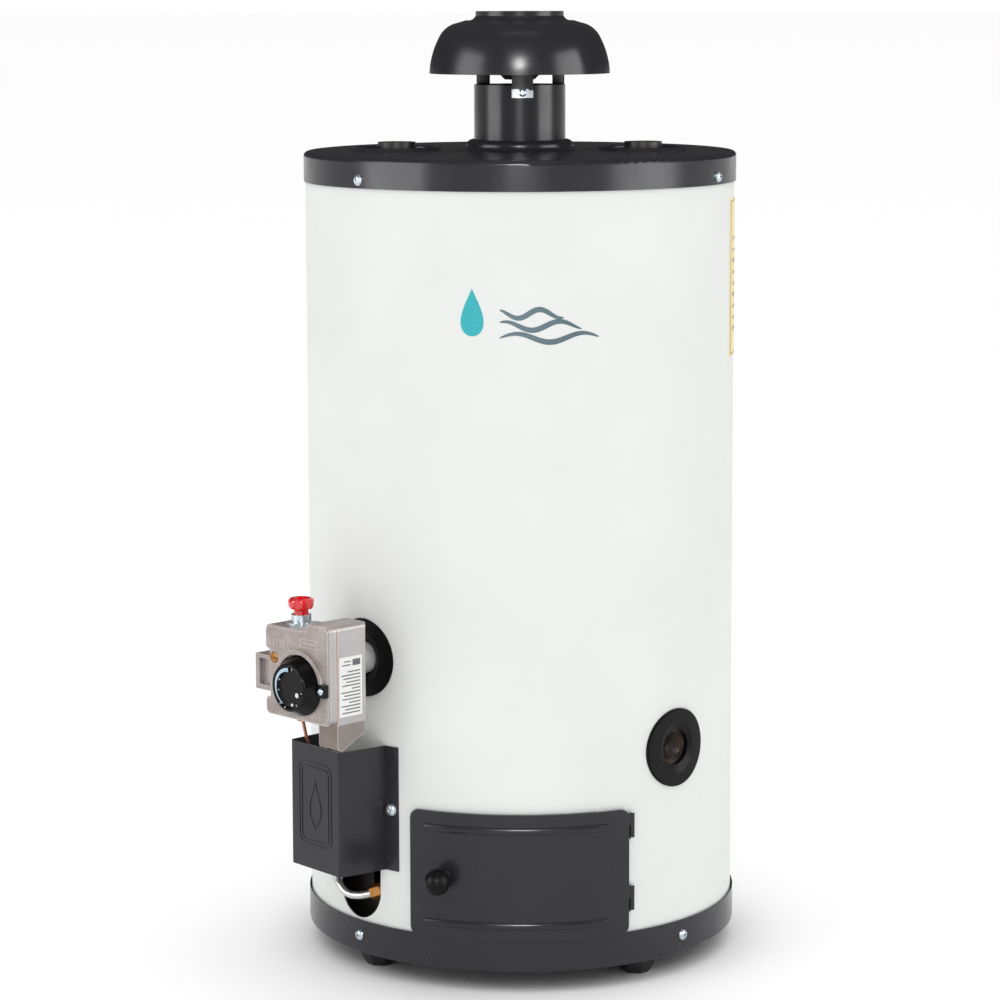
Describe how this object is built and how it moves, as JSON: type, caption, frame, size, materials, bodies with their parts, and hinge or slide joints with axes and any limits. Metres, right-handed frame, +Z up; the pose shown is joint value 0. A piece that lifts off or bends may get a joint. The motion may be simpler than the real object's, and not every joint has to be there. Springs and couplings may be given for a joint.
{
  "type": "tank water heater",
  "caption": "Upright gas-fired storage water heater: cylindrical jacket on low feet, draught hood on top, gas control, burner cover, drain and hinged access door.",
  "frame": {"origin": "on the floor, at the middle of the whole heater's footprint rectangle; the tank's axis is 17.2 mm to +X and 12.05 mm to +Y of it, because the gas control stands out at the front left", "axes": "+Z up along the tank and flue; -Y is the front with the access door; +X is the right side, nearer the drain"},
  "size_m": [0.3954, 0.387, 0.783],
  "materials": {
    "white_enamel": "satin baked enamel",
    "dark_enamel": "semi-gloss dark grey enamel",
    "black_enamel": "matt black heat-resistant enamel",
    "galvanised": "zinc-coated sheet",
    "zinc": "bright zinc plating",
    "bright_steel": "machined",
    "tank_steel": "mill steel, glass-lined inside",
    "steel_coupling": "plain steel with thread sealant",
    "rusty_steel": "light surface rust",
    "foam": "expanded foam and fibre blanket",
    "white_plastic": "moulded",
    "magnesium": "cast rod",
    "black_plastic": "moulded",
    "gloss_black": "glossy moulded",
    "cast_aluminium": "die-cast, lightly blasted",
    "gasket_copper": "compressed sheet",
    "copper": "drawn copper",
    "brass": "turned",
    "red_plastic": "glossy moulded",
    "aluminium_tube": "drawn",
    "yellow_label": "printed sticker, laminated"
  },
  "bodies": {
    "heater": {"jacket": "white_enamel", "lid": "dark_enamel", "base_pan": "dark_enamel", "hood_pipe": "dark_enamel", "hood_dome": "dark_enamel", "hood_leg_front": "dark_enamel", "hood_leg_right": "dark_enamel", "hood_leg_left": "dark_enamel", "hood_baffle": "black_enamel", "hinge_leaves": "dark_enamel", "control_cover": "dark_enamel", "inner_door": "galvanised", "foot_front_left": "black_plastic", "foot_front_right": "black_plastic", "foot_rear_left": "black_plastic", "foot_rear_right": "black_plastic", "lid_screws": "zinc", "base_screws": "zinc", "cover_screws": "zinc", "hood_screws": "zinc", "valve_screws": "zinc", "hinge_pins": "zinc", "button_guard": "zinc", "tank_shell": "tank_steel", "tank_top_head": "tank_steel", "tank_bottom_head": "tank_steel", "flue_tube": "tank_steel", "flue_baffle": "tank_steel", "combustion_skirt": "tank_steel", "hot_coupling": "steel_coupling", "cold_coupling": "steel_coupling", "thermostat_spud": "steel_coupling", "drain_spud": "rusty_steel", "insulation": "foam", "dip_tube": "white_plastic", "anode_rod": "magnesium", "drain_escutcheon": "gloss_black", "valve_escutcheon": "gloss_black", "dial_stop": "gloss_black", "valve_body": "cast_aluminium", "valve_cover": "cast_aluminium", "valve_gasket": "gasket_copper", "valve_shank": "bright_steel", "sensing_probe": "copper", "regulator_screw": "brass", "orifice_fitting": "brass", "tube_nuts": "brass", "burner_tube": "aluminium_tube", "pilot_tube": "aluminium_tube", "thermocouple_lead": "copper", "main_burner": "black_enamel", "burner_mixer": "black_enamel", "pilot_burner": "galvanised", "radiation_shield": "galvanised", "rating_label": "yellow_label"},
    "door": {"access_door": "dark_enamel"},
    "latch": {"door_knob": "gloss_black", "latch_cam": "zinc"},
    "dial": {"temperature_dial": "gloss_black"},
    "button": {"pilot_button": "red_plastic"}
  },
  "joints": [
    {"name": "door_hinge", "type": "hinge", "parent": "heater", "child": "door", "pos_m": [0.10671, -0.14538, 0.093], "axis": [0, 0, 1], "range_deg": [0, 110]},
    {"name": "latch_turn", "type": "hinge", "parent": "door", "child": "latch", "pos_m": [-0.04505, -0.15897, 0.093], "axis": [-0.342, -0.9397, 0], "range_deg": [0, 90]},
    {"name": "dial_turn", "type": "hinge", "parent": "heater", "child": "dial", "pos_m": [-0.16017, -0.1691, 0.252], "axis": [-0.7108, -0.7034, 0], "range_deg": [-250, 30]},
    {"name": "button_press", "type": "slide", "parent": "heater", "child": "button", "axis": [0, 0, -1], "range_m": [0, 0.003], "stiffness_N_per_m": 600, "springref_m": -0.003}
  ]
}
